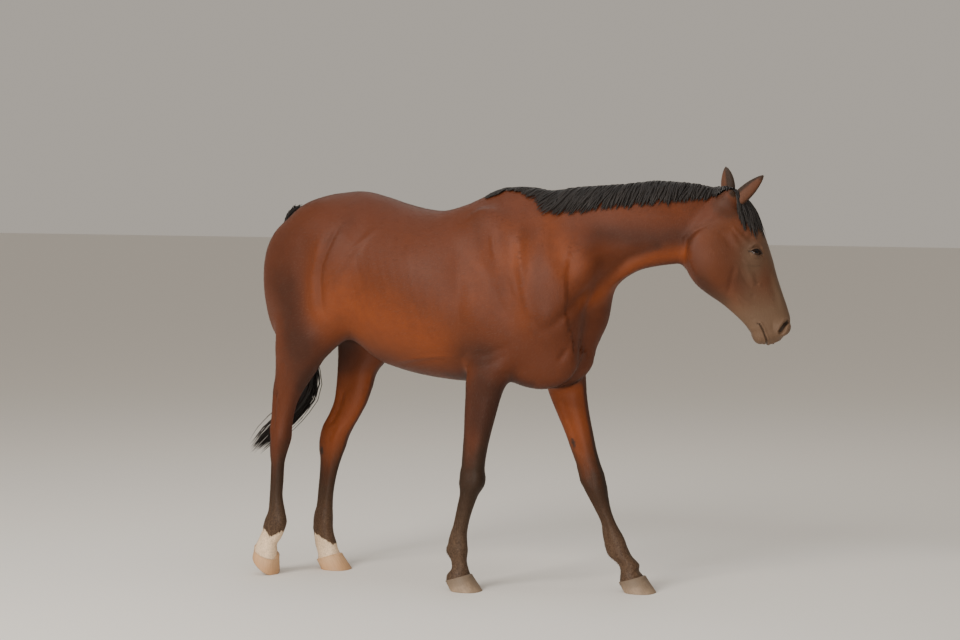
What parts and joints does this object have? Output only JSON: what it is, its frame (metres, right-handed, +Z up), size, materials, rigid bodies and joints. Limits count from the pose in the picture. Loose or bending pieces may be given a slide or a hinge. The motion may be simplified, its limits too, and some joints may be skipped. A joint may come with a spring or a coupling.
{
  "type": "horse",
  "caption": "Life-size bay horse standing still in a walking stride, head carried level with the back, short black mane and thin tail.",
  "frame": {"origin": "on the floor, under the middle of the whole horse's bounding box", "axes": "+X towards the horse's chest, +Y to the horse's left, +Z up"},
  "size_m": [2.2306, 0.6668, 1.693],
  "materials": {
    "coat": "satin",
    "coat_dark": "satin",
    "hair": "satin",
    "hoof": "matte",
    "eye": "gloss"
  },
  "bodies": {
    "root": {"trunk": "coat", "neck": "coat", "head": "coat", "leg_fore_right": "coat_dark", "leg_fore_left": "coat_dark", "leg_hind_right": "coat_dark", "leg_hind_left": "coat_dark", "ear_right": "coat_dark", "ear_left": "coat_dark", "mane": "hair", "forelock": "hair", "tail": "hair", "eye_right": "eye", "eye_left": "eye", "hoof_fore_right": "hoof", "hoof_fore_left": "hoof", "hoof_hind_right": "hoof", "hoof_hind_left": "hoof"}
  },
  "joints": []
}
